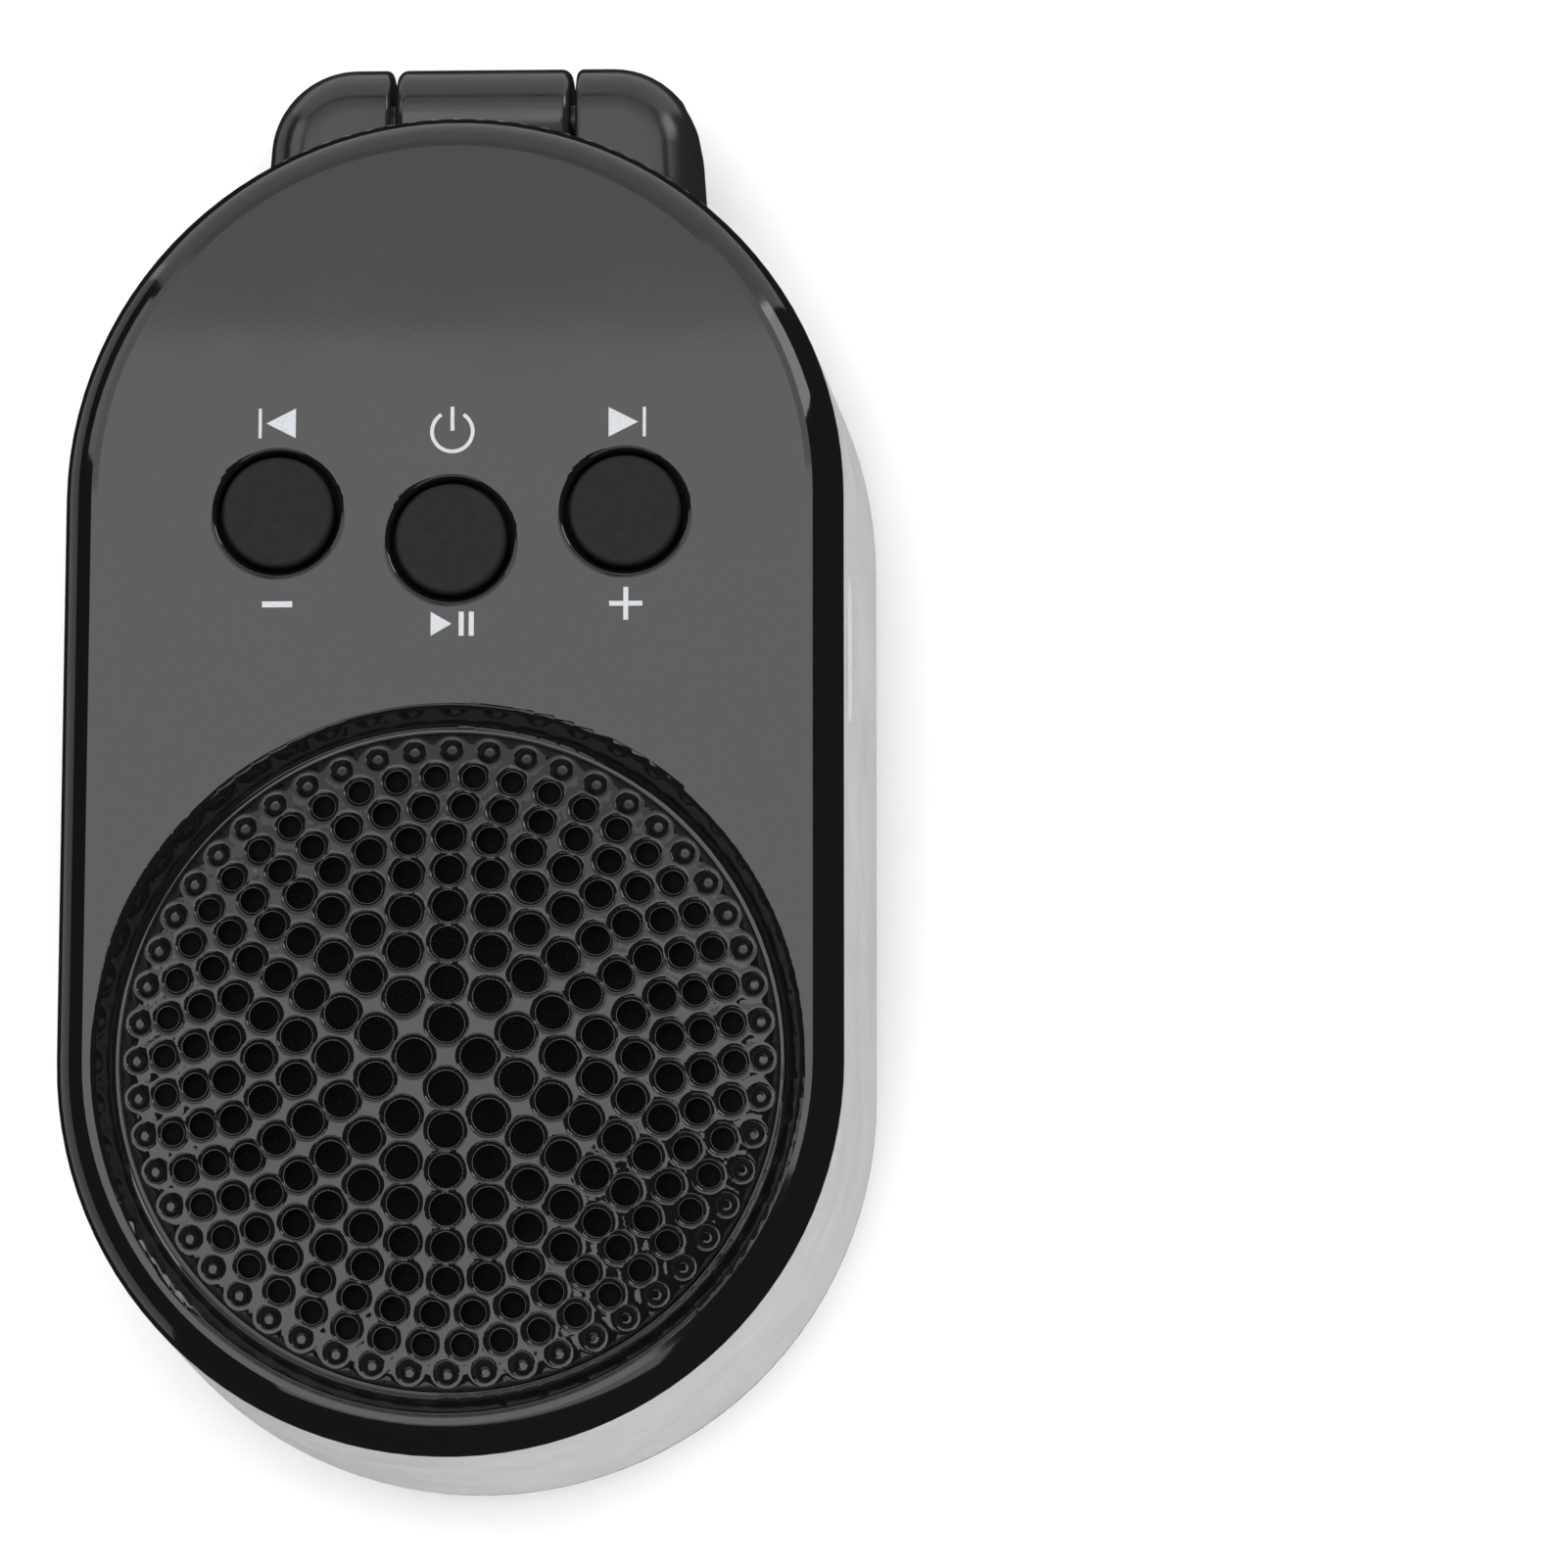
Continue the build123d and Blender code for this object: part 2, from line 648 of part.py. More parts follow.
flange_z = 33.0
flange_under_z = flange_z - 1.0
flange_inner = 16.9
basket_radius = 19.0
basket_floor_inner = 9.7
basket_floor_z = 23.4
basket_floor_top = 24.4
magnet_low_z = 15.9
magnet_high_z = 20.9
yoke_back_z = 13.9
vent_radius = 0.8
pole_radius = 5.0
coil_inner = 5.3
coil_outer = 5.5
winding_outer = 5.7
gap_outer = 6.0
cone_edge = 15.0

with BuildPart() as driver_basket:
    turned(
        [
            (flange_inner, flange_z),
            (basket_radius, flange_z),
            (basket_radius, flange_under_z),
            (17.9, flange_under_z),
            (13.6, basket_floor_z),
            (basket_floor_inner, basket_floor_z),
            (basket_floor_inner, basket_floor_top),
            (12.9, basket_floor_top),
            (flange_inner, flange_z - 0.6),
        ]
    )
    with BuildSketch(Plane.XY.offset(basket_floor_top + 1)) as windows:
        with Locations(speaker_centre):
            with PolarLocations(15.5, 4, start_angle=45):
                RectangleRounded(6, 12, 1.2)
    extrude(windows.sketch, amount=5.4, mode=Mode.SUBTRACT)
    rods(driver_screw_points, 2.1, flange_under_z, flange_z)
    rods(driver_screw_points, 1.05, flange_under_z, flange_z, mode=Mode.SUBTRACT)

with BuildPart() as driver_top_plate:
    turned(
        [
            (gap_outer, magnet_high_z),
            (11.0, magnet_high_z),
            (11.0, basket_floor_z),
            (gap_outer, basket_floor_z),
        ]
    )

with BuildPart() as driver_magnet:
    turned(
        [
            (7.5, magnet_low_z),
            (12.1, magnet_low_z),
            (12.5, magnet_low_z + 0.4),
            (12.5, magnet_high_z - 0.4),
            (12.1, magnet_high_z),
            (7.5, magnet_high_z),
        ]
    )

with BuildPart() as driver_yoke:
    turned(
        [
            (vent_radius, yoke_back_z),
            (10.8, yoke_back_z),
            (11.5, yoke_back_z + 0.7),
            (11.5, magnet_low_z),
            (pole_radius, magnet_low_z),
            (pole_radius, basket_floor_z - 0.4),
            (pole_radius - 0.4, basket_floor_z),
            (vent_radius, basket_floor_z),
        ]
    )

with BuildPart() as voice_coil:
    turned([(coil_inner, 20.6), (coil_outer, 20.6), (coil_outer, 27.6), (coil_inner, 27.6)])
    turned([(coil_outer, 20.8), (winding_outer, 20.8), (winding_outer, 23.6), (coil_outer, 23.6)])

with BuildPart() as driver_cone:
    turned(
        [
            (coil_outer, 27.2),
            (14.1, 32.6),
            (cone_edge, 32.6),
            (cone_edge, flange_z),
            (13.9, flange_z),
            (coil_outer, 27.7),
        ]
    )

# Dust cap: a thin spherical shell standing on the cone.
cap_sphere = 14.875
cap_skin = 0.3
cap_top_z = 30.4
cap_foot_z = 28.65
cap_centre_z = cap_top_z - cap_sphere
cap_outer_edge = math.sqrt(cap_sphere**2 - (cap_foot_z - cap_centre_z) ** 2)
cap_inner_edge = math.sqrt((cap_sphere - cap_skin) ** 2 - (cap_foot_z - cap_centre_z) ** 2)
with BuildPart() as dust_cap:
    with BuildSketch(Plane.XZ.offset(arc_offset)) as cap_section:
        with BuildLine():
            RadiusArc((0, cap_top_z), (cap_outer_edge, cap_foot_z), cap_sphere)
            Line((cap_outer_edge, cap_foot_z), (cap_inner_edge, cap_foot_z))
            RadiusArc((cap_inner_edge, cap_foot_z), (0, cap_top_z - cap_skin), cap_skin - cap_sphere)
            Line((0, cap_top_z - cap_skin), (0, cap_top_z))
        make_face()
    revolve(cap_section.sketch, axis=Axis((0, -arc_offset, 0), (0, 0, 1)))

# Surround: a half roll between the cone's edge and the basket's flange.
membrane = 0.3
surround_z = flange_z + membrane / 2
roll_middle = (cone_edge + flange_inner) / 2
roll_radius = (flange_inner - cone_edge) / 2
with BuildPart() as driver_surround:
    with BuildSketch(Plane.XZ.offset(arc_offset)) as roll_section:
        with BuildLine() as roll_line:
            Line((13.9, surround_z), (roll_middle - roll_radius, surround_z))
            CenterArc((roll_middle, surround_z), roll_radius, 180, -180)
            Line((roll_middle + roll_radius, surround_z), (18.3, surround_z))
        trace(roll_line.line, line_width=membrane)
    revolve(roll_section.sketch, axis=Axis((0, -arc_offset, 0), (0, 0, 1)))

# Spider: three waves between the basket's floor and the voice coil.
spider_z = basket_floor_top + membrane / 2
wave_radius = 0.8
first_wave = 11.0
with BuildPart() as driver_spider:
    with BuildSketch(Plane.XZ.offset(arc_offset)) as spider_section:
        with BuildLine() as spider_line:
            Line((12.6, spider_z), (first_wave, spider_z))
            for wave in range(3):
                wave_x = first_wave - wave_radius * (2 * wave + 1)
                CenterArc((wave_x, spider_z), wave_radius, 0, 180 if wave % 2 == 0 else -180)
            Line((first_wave - 6 * wave_radius, spider_z), (5.9, spider_z))
        trace(spider_line.line, line_width=membrane)
    revolve(spider_section.sketch, axis=Axis((0, -arc_offset, 0), (0, 0, 1)))

with BuildPart() as driver_gasket:
    turned(
        [
            (17.2, flange_z + membrane),
            (18.3, flange_z + membrane),
            (18.3, shelf_under_z),
            (17.2, shelf_under_z),
        ]
    )

with BuildPart() as driver_screws:
    screws(
        driver_screw_points,
        head_low=flange_under_z - 1.1,
        head_high=flange_under_z,
        head_radius=1.8,
        shank_radius=0.75,
        tip_z=shelf_under_z + 0.8,
        cut_high=flange_under_z - 0.5,
    )

# Terminal strip with two solder lugs, under the flange.
lug_foot_z = flange_under_z - 2.3
with BuildPart() as driver_terminals:
    block((8.2, 13.8), (-2.9, -0.9), (flange_under_z - 0.8, flange_under_z))
    for lug_x in (9.0, 11.8):
        block((lug_x, lug_x + 1.2), (-2.6, -1.2), (lug_foot_z, flange_under_z - 0.8))

wire_radius = 0.45
speaker_wires = wire_pair(
    [(11.0, -1.9, lug_foot_z - 0.1), (11.0, -1.9, 26.0), (5.5, 0.5, 25.5), (4.0, 7.4, 25.9)],
    wire_radius,
    bend=1.5,
    apart=2.4,
)
battery_wires = wire_pair(
    [(-12.6, 38.3, battery_low + 3.2), (-12.6, 38.3, 19.5), (-15.0, 28.0, 25.9), (-16.0, 11.2, 26.0)],
    wire_radius,
    bend=3.0,
    apart=1.6,
)

# ---------------------------------------------------------------- clip

# Arm: a flat blade that curls up into the knuckle between the ears.
arm_shoulder_y = 38.0
arm_shoulder_corner = 3.5
arm_neck_round = 1.5
arm_tip_corner = 9.0
spring_pocket_radius = 2.9

with BuildPart() as clip_arm:
    with BuildSketch(Plane.YZ.offset(-clip_half_width)) as arm_side:
        with BuildLine():
            Line((clip_tip_y, 0), (hinge_top_y - hinge_z, 0))
            RadiusArc((hinge_top_y - hinge_z, 0), (hinge_top_y, hinge_z), -hinge_z)
            CenterArc((hinge_y, hinge_z), barrel_radius, 0, 180)
            Line((hinge_y - barrel_radius, hinge_z), (hinge_y - 3.9, 6.2))
            RadiusArc((hinge_y - 3.9, 6.2), (hinge_y - 7.1, clip_thickness), 3.2)
            Line((hinge_y - 7.1, clip_thickness), (clip_tip_y, clip_thickness))
            Line((clip_tip_y, clip_thickness), (clip_tip_y, 0))
        make_face()
    extrude(arm_side.sketch, amount=2 * clip_half_width)
    with BuildSketch(Plane.XY) as arm_plan:
        with Locations((0, (clip_tip_y + arm_shoulder_y) / 2)):
            Rectangle(2 * clip_half_width, arm_shoulder_y - clip_tip_y)
        fillet(arm_plan.vertices().group_by(Axis.Y)[0], radius=arm_tip_corner)
        fillet(arm_plan.vertices().group_by(Axis.Y)[-1], radius=arm_shoulder_corner)
        with Locations((0, (arm_shoulder_y + hinge_top_y) / 2)):
            Rectangle(2 * knuckle_half, hinge_top_y - arm_shoulder_y + 2)
        neck = arm_plan.vertices().filter_by(lambda corner: abs(abs(corner.X) - knuckle_half) < 0.01)
        fillet(neck.group_by(Axis.Y)[0], radius=arm_neck_round)
    extrude(arm_plan.sketch, amount=hinge_z + barrel_radius + 1, mode=Mode.INTERSECT)
    underside = clip_arm.edges().group_by(Axis.Z)[0].filter_by(lambda edge: edge.center().Y < 44)
    fillet(underside.filter_by(lambda edge: abs(edge.center().X) > 6 or edge.center().Y < 0), radius=0.8)
    with BuildSketch(Plane.YZ.offset(-knuckle_half)) as arm_bore:
        with Locations((hinge_y, hinge_z)):
            Circle(pin_radius + pin_clearance)
    extrude(arm_bore.sketch, amount=2 * knuckle_half, mode=Mode.SUBTRACT)
    with BuildSketch(Plane.YZ.offset(-spring_pocket_half)) as spring_pocket:
        with Locations((hinge_y, hinge_z)):
            Circle(spring_pocket_radius)
        with Locations((hinge_y - 2.5, hinge_z - 1.5)):
            Rectangle(5, 5)
    extrude(spring_pocket.sketch, amount=2 * spring_pocket_half, mode=Mode.SUBTRACT)
    with BuildSketch(Plane.XY.offset(clip_thickness - pad_depth)) as pad_pocket:
        with Locations((0, pad_y)):
            RectangleRounded(pad_width, pad_length, 2)
    extrude(pad_pocket.sketch, amount=pad_depth, mode=Mode.SUBTRACT)
    with BuildSketch(Plane.XY) as thumb_grooves:
        with Locations((0, -19)):
            with GridLocations(1, 3.2, 1, 4):
                SlotOverall(15, 1.2)
    extrude(thumb_grooves.sketch, amount=0.6, mode=Mode.SUBTRACT)

# Rubber pad in the arm's tip, ribbed across, just clear of the back cover's grip ribs.
with BuildPart() as clip_pad:
    with BuildSketch(Plane.XY.offset(clip_thickness - pad_depth)) as pad_outline:
        with Locations((0, pad_y)):
            RectangleRounded(pad_width, pad_length, 2)
    extrude(pad_outline.sketch, amount=pad_depth + pad_proud)
    with BuildSketch(Plane.XY.offset(clip_thickness + pad_proud)) as pad_grooves:
        with Locations((0, pad_y)):
            with GridLocations(1, 2, 1, 5):
                Rectangle(pad_width, 0.7)
    extrude(pad_grooves.sketch, amount=-0.6, mode=Mode.SUBTRACT)

with BuildPart() as hinge_pin:
    with BuildSketch(Plane.YZ.offset(-pin_half)) as pin_end:
        with Locations((hinge_y, hinge_z)):
            Circle(pin_radius)
    extrude(pin_end.sketch, amount=2 * pin_half)
    chamfer(hinge_pin.edges().filter_by(GeomType.CIRCLE), length=0.2)

# Torsion spring round the pin: a leg from the coil's underside towards the end of the housing,
# and one down to the arm. It is drawn about Z and then laid along the pin.
coil_length = spring_turns * spring_pitch
with BuildPart() as upright_spring:
    with BuildLine() as coil:
        Helix(pitch=spring_pitch, height=coil_length, radius=spring_radius)
    with BuildSketch(Plane(origin=coil.line @ 0, z_dir=coil.line % 0)) as coil_start:
        Circle(spring_wire / 2)
    sweep(coil_start.sketch, path=coil.line, is_frenet=True)
    extrude(coil_start.sketch, amount=-spring_long_leg)
    with BuildSketch(Plane(origin=coil.line @ 1, z_dir=coil.line % 1)) as coil_finish:
        Circle(spring_wire / 2)
    extrude(coil_finish.sketch, amount=spring_short_leg)
spring_seat = Plane(origin=(-coil_length / 2, hinge_y, hinge_z), x_dir=(0, 0, -1), z_dir=(1, 0, 0))
with BuildPart() as clip_spring:
    add(spring_seat.location * upright_spring.part)

# ---------------------------------------------------------------- hand-over
pieces = {
    "front_cover": front_cover,
    "front_seal": front_seal,
    "housing": housing,
    "back_cover": back_cover,
    "rear_seal": rear_seal,
    "case_screws": case_screws,
    "speaker_grille": speaker_grille,
    "grille_cloth": grille_cloth,
    "button_prev": button_prev,
    "button_play": button_play,
    "button_next": button_next,
    "switch_plunger_prev": switch_plunger_prev,
    "switch_plunger_play": switch_plunger_play,
    "switch_plunger_next": switch_plunger_next,
    "switch_bodies": switch_bodies,
    "keypad_seal": keypad_seal,
    "main_board": main_board,
    "board_screws": board_screws,
    "control_chip": control_chip,
    "amplifier_chip": amplifier_chip,
    "capacitors": capacitors,
    "power_inductor": power_inductor,
    "crystal": crystal,
    "chip_resistors": chip_resistors,
    "chip_antenna": chip_antenna,
    "speaker_socket": speaker_socket,
    "battery_socket": battery_socket,
    "usb_port_shell": usb_port_shell,
    "usb_port_tongue": usb_port_tongue,
    "battery": battery,
    "battery_tape": battery_tape,
    "battery_wires": battery_wires,
    "driver_basket": driver_basket,
    "driver_top_plate": driver_top_plate,
    "driver_magnet": driver_magnet,
    "driver_yoke": driver_yoke,
    "voice_coil": voice_coil,
    "driver_cone": driver_cone,
    "dust_cap": dust_cap,
    "driver_surround": driver_surround,
    "driver_spider": driver_spider,
    "driver_gasket": driver_gasket,
    "driver_screws": driver_screws,
    "driver_terminals": driver_terminals,
    "speaker_wires": speaker_wires,
    "clip_arm": clip_arm,
    "clip_pad": clip_pad,
    "hinge_pin": hinge_pin,
    "clip_spring": clip_spring,
}
os.makedirs("parts", exist_ok=True)
for label, piece in pieces.items():
    piece.part.label = label
    export_step(piece.part, f"parts/{label}.step")
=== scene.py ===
import json
import math

import bmesh
import bpy
import numpy as np
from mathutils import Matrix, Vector
from mathutils.geometry import delaunay_2d_cdt


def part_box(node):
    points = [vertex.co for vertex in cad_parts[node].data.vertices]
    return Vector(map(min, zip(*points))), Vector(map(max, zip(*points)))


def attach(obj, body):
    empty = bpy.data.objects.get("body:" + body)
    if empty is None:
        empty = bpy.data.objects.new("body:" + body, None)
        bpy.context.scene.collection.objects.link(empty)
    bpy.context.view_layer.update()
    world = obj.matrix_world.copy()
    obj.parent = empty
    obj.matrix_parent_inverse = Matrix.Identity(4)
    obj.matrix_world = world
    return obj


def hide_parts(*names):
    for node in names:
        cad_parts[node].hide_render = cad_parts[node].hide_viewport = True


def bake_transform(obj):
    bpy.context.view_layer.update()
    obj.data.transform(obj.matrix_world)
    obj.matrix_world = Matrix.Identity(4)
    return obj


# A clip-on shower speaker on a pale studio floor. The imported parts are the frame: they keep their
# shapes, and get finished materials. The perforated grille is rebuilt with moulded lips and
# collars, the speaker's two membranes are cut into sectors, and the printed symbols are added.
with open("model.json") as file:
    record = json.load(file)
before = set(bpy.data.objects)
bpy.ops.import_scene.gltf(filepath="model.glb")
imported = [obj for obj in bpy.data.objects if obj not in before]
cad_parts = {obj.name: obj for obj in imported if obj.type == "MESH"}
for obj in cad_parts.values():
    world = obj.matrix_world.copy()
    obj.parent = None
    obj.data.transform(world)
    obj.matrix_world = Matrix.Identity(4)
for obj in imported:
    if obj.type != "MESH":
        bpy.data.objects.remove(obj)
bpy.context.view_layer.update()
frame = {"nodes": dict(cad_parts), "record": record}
nodes = frame["nodes"]
record = frame["record"]

MM = 0.001


# ---------------------------------------------------------------- small helpers


def new_piece(name, vertices, faces, material, smooth=True):
    """A mesh in metres that rides on the case and has one material."""
    mesh = bpy.data.meshes.new(name)
    mesh.from_pydata(vertices, [], faces)
    mesh.polygons.foreach_set("use_smooth", [smooth] * len(mesh.polygons))
    mesh.materials.append(material)
    piece = bpy.data.objects.new(name, mesh)
    bpy.context.scene.collection.objects.link(piece)
    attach(piece, "case")
    return piece


def circle_points(centre, radius, count, first_degrees=0.0):
    """Points evenly round a circle."""
    turn = math.radians(first_degrees) + np.linspace(0, 2 * math.pi, count, endpoint=False)
    return np.column_stack([centre[0] + radius * np.cos(turn), centre[1] + radius * np.sin(turn)])


def smooth_step(value):
    """0 below 0, 1 above 1, and an even S between."""
    value = np.clip(value, 0, 1)
    return value * value * (3 - 2 * value)


# ---------------------------------------------------------------- materials


class Finish:
    """A Principled material with its texture nodes laid out in the piece's own metres."""

    def __init__(self, name, color, roughness, metallic=0.0, specular=0.5):
        self.material = bpy.data.materials.new(name)
        self.material.use_nodes = True
        self.tree = self.material.node_tree
        self.shader = self.tree.nodes["Principled BSDF"]
        self.shader.inputs["Base Color"].default_value = (*color, 1)
        self.shader.inputs["Roughness"].default_value = roughness
        self.shader.inputs["Metallic"].default_value = metallic
        self.shader.inputs["Specular IOR Level"].default_value = specular
        self.place = self.tree.nodes.new("ShaderNodeTexCoord").outputs["Object"]
        self.normal = None

    def noise(self, size, detail=2.0, stretch=None):
        """Noise whose features are about size metres across, stretched along an axis if asked."""
        texture = self.tree.nodes.new("ShaderNodeTexNoise")
        texture.inputs["Scale"].default_value = 1 / size
        texture.inputs["Detail"].default_value = detail
        place = self.place
        if stretch:
            mapping = self.tree.nodes.new("ShaderNodeMapping")
            mapping.inputs["Scale"].default_value = stretch
            self.tree.links.new(place, mapping.inputs["Vector"])
            place = mapping.outputs["Vector"]
        self.tree.links.new(place, texture.inputs["Vector"])
        return texture.outputs["Fac"]

    def cells(self, size, feature="F1"):
        """Cells about size metres across: the distance from each cell's middle."""
        texture = self.tree.nodes.new("ShaderNodeTexVoronoi")
        texture.feature = feature
        texture.inputs["Scale"].default_value = 1 / size
        self.tree.links.new(self.place, texture.inputs["Vector"])
        return texture.outputs["Distance"]

    def weave(self, size, axis):
        """Fine bands along one axis, for threads."""
        texture = self.tree.nodes.new("ShaderNodeTexWave")
        texture.bands_direction = axis
        texture.inputs["Scale"].default_value = 0.3 / size
        texture.inputs["Distortion"].default_value = 0.4
        self.tree.links.new(self.place, texture.inputs["Vector"])
        return texture.outputs["Fac"]

    def spread(self, value, low, high, from_low=0.3, from_high=0.7):
        """Maps a texture's values on to a range."""
        remap = self.tree.nodes.new("ShaderNodeMapRange")
        remap.inputs["From Min"].default_value = from_low
        remap.inputs["From Max"].default_value = from_high
        remap.inputs["To Min"].default_value = low
        remap.inputs["To Max"].default_value = high
        self.tree.links.new(value, remap.inputs["Value"])
        return remap.outputs["Result"]

    def vary_roughness(self, value, low, high):
        """Lets a texture move the gloss between two limits."""
        self.tree.links.new(self.spread(value, low, high), self.shader.inputs["Roughness"])
        return self

    def vary_color(self, value, first, second):
        """Lets a texture mix two colours."""
        ramp = self.tree.nodes.new("ShaderNodeValToRGB")
        ramp.color_ramp.elements[0].position = 0.3
        ramp.color_ramp.elements[0].color = (*first, 1)
        ramp.color_ramp.elements[1].position = 0.7
        ramp.color_ramp.elements[1].color = (*second, 1)
        self.tree.links.new(value, ramp.inputs["Fac"])
        self.tree.links.new(ramp.outputs["Color"], self.shader.inputs["Base Color"])
        return self

    def bump(self, value, depth, strength=1.0):
        """Adds relief depth metres deep on top of what is there."""
        node = self.tree.nodes.new("ShaderNodeBump")
        node.inputs["Distance"].default_value = depth
        node.inputs["Strength"].default_value = strength
        self.tree.links.new(value, node.inputs["Height"])
        if self.normal:
            self.tree.links.new(self.normal, node.inputs["Normal"])
        self.normal = node.outputs["Normal"]
        self.tree.links.new(self.normal, self.shader.inputs["Normal"])
        return self


def gloss_black(name, color, gloss):
    """Polished black moulding: slow ripples from the mould, and slightly uneven gloss."""
    finish = Finish(name, color, gloss)
    finish.vary_roughness(finish.noise(9 * MM, 4), gloss * 0.7, gloss * 1.5)
    finish.bump(finish.noise(14 * MM, 1), 0.010 * MM)
    finish.bump(finish.noise(0.35 * MM, 2), 0.0006 * MM)
    return finish.material


def hinge_black():
    """The hinge's and clip's black plastic, a little softer in its gloss than the front."""
    finish = Finish("hinge_black", (0.012, 0.012, 0.014), 0.2)
    finish.vary_roughness(finish.noise(6 * MM, 4), 0.13, 0.26)
    finish.bump(finish.noise(10 * MM, 1), 0.012 * MM)
    finish.bump(finish.noise(0.25 * MM, 2), 0.0015 * MM)
    return finish.material


def silver_paint():
    """Satin silver paint with fine metal flakes."""
    finish = Finish("silver_paint", (0.50, 0.505, 0.51), 0.42)
    flakes = finish.cells(0.16 * MM)
    finish.vary_color(flakes, (0.53, 0.535, 0.54), (0.47, 0.475, 0.48))
    finish.vary_roughness(finish.noise(5 * MM, 3), 0.36, 0.48)
    finish.bump(flakes, 0.004 * MM)
    finish.bump(finish.noise(2.5 * MM, 2), 0.004 * MM)
    return finish.material


def satin_black():
    """The keys' fine satin grain."""
    finish = Finish("satin_black", (0.005, 0.0052, 0.0058), 0.62, specular=0.24)
    finish.vary_roughness(finish.noise(0.8 * MM, 3), 0.58, 0.68)
    finish.bump(finish.cells(0.12 * MM), 0.005 * MM)
    return finish.material


def printed_white():
    """Screen-printed white ink: slightly uneven cover."""
    finish = Finish("printed_white", (0.44, 0.46, 0.48), 0.5)
    finish.vary_color(finish.noise(0.18 * MM, 3), (0.38, 0.40, 0.42), (0.48, 0.50, 0.52))
    finish.bump(finish.noise(0.08 * MM, 2), 0.002 * MM)
    return finish.material


def rubber(name, color):
    """Matt moulded rubber."""
    finish = Finish(name, color, 0.8, specular=0.3)
    finish.vary_roughness(finish.noise(1.5 * MM, 3), 0.7, 0.9)
    finish.bump(finish.noise(0.12 * MM, 3), 0.01 * MM)
    return finish.material


def black_cloth():
    """Fine woven dust cloth."""
    finish = Finish("black_cloth", (0.006, 0.006, 0.006), 0.95, specular=0.1)
    finish.bump(finish.weave(0.18 * MM, "X"), 0.05 * MM)
    finish.bump(finish.weave(0.18 * MM, "Y"), 0.05 * MM)
    return finish.material


def metal(name, color, roughness, grain=(1, 1, 14)):
    """Bare metal with fine drawing or rolling lines."""
    finish = Finish(name, color, roughness, metallic=1.0)
    finish.vary_roughness(finish.noise(0.6 * MM, 4, grain), roughness * 0.7, roughness * 1.4)
    finish.bump(finish.noise(0.2 * MM, 3, grain), 0.002 * MM)
    return finish.material


def plastic(name, color, roughness, grain=0.3 * MM):
    """Plain moulded plastic, board or ceramic."""
    finish = Finish(name, color, roughness)
    finish.vary_roughness(finish.noise(2 * MM, 3), roughness * 0.85, min(1, roughness * 1.15))
    finish.bump(finish.noise(grain, 3), 0.004 * MM)
    return finish.material


def fibre(name, color):
    """Pressed paper or treated cloth."""
    finish = Finish(name, color, 0.85, specular=0.2)
    darker = tuple(part * 0.7 for part in color)
    finish.vary_color(finish.noise(0.4 * MM, 4), darker, color)
    finish.bump(finish.noise(0.25 * MM, 4, (1, 1, 3)), 0.03 * MM)
    return finish.material


def finish_for(slot, kind, color):
    """The material for one of the record's slots."""
    made = {
        "gloss_black_plastic": lambda: gloss_black("gloss_black", (0.0045, 0.0045, 0.0055), 0.055),
        "black_hinge_plastic": hinge_black,
        "silver_housing": silver_paint,
        "satin_black_button": satin_black,
        "black_cloth": black_cloth,
        "port_steel": lambda: metal("port_steel", (0.05, 0.05, 0.055), 0.4),
    }
    if slot in made:
        return made[slot]()
    if kind == "rubber":
        return rubber(slot, color)
    if kind == "fabric":
        return fibre(slot, color)
    if kind in ("brushed_steel", "aluminium", "brass"):
        return metal(slot, color, 0.32)
    if kind in ("painted_metal", "cast_iron"):
        return plastic(slot, color, 0.5)
    return plastic(slot, color, 0.45)


finishes = {}
for entry in record["materials"]:
    base_color = tuple(entry["base_color"][:3])
    finishes[entry["slot"]] = finish_for(entry["slot"], entry["class"], base_color)
for entry in record["subparts"]:
    nodes[entry["node"]].data.materials[0] = finishes[entry["material_slot"]]


# ---------------------------------------------------------------- grille

# Millimetres from here to the mesh. The dome, holes and dimples are those of the CAD grille.
grille_low, grille_high = (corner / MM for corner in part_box("speaker_grille"))
grille_centre = np.array([(grille_low.x + grille_high.x) / 2, (grille_low.y + grille_high.y) / 2])
dome_radius = 90.3
skin = 1.0
border_radius = 22.85
ring_radii = [2.22, 5.10, 7.87, 10.48, 13.01, 15.35, 17.58, 19.71]
hole_diameters = [2.50, 2.42, 2.34, 2.24, 2.06, 1.97, 1.78, 1.64]
ring_turns = [90, 90, 90, 90, 90, 90, 87, 93.2]
holes_in_first_ring = 4
holes_more_per_ring = 6
dimple_ring = 21.6
dimple_count = 52
dimple_radius = 0.675
dimple_depth = 0.6
dimple_lip = 0.2
dimple_slope = 0.34

lip_width = 0.42  # from a hole's edge to the crest of its rounded lip
lip_drop = 0.34
dip_depth = 0.13  # how far the web sinks between the outermost collars
dip_width = 0.6
dip_start = 11.0  # no sunken web nearer the middle than this
border_drop = 0.12  # how far the rounded border falls
border_width = 0.15
web_blend = 0.25
hole_sides = 24
dimple_sides = 20
lip_steps = [0.04, 0.08, 0.13, 0.19, 0.26, 0.34, lip_width, 0.52, 0.64, 0.8]
dimple_steps = [-0.5, -0.34, -0.28, -0.2, -0.12, -0.05, 0, 0.05, 0.1, 0.15, dimple_lip]
dimple_steps += lip_steps[5:]
share_margin = 0.015  # how much nearer another hole's edge may be than a point's own
hole_margin = 0.01  # no point nearer than this to a hole's edge
border_margin = 0.2
shoulder_insets = (0.04, 0.08, 0.15)
shoulder_margin = 0.05
border_steps = 10 * dimple_count


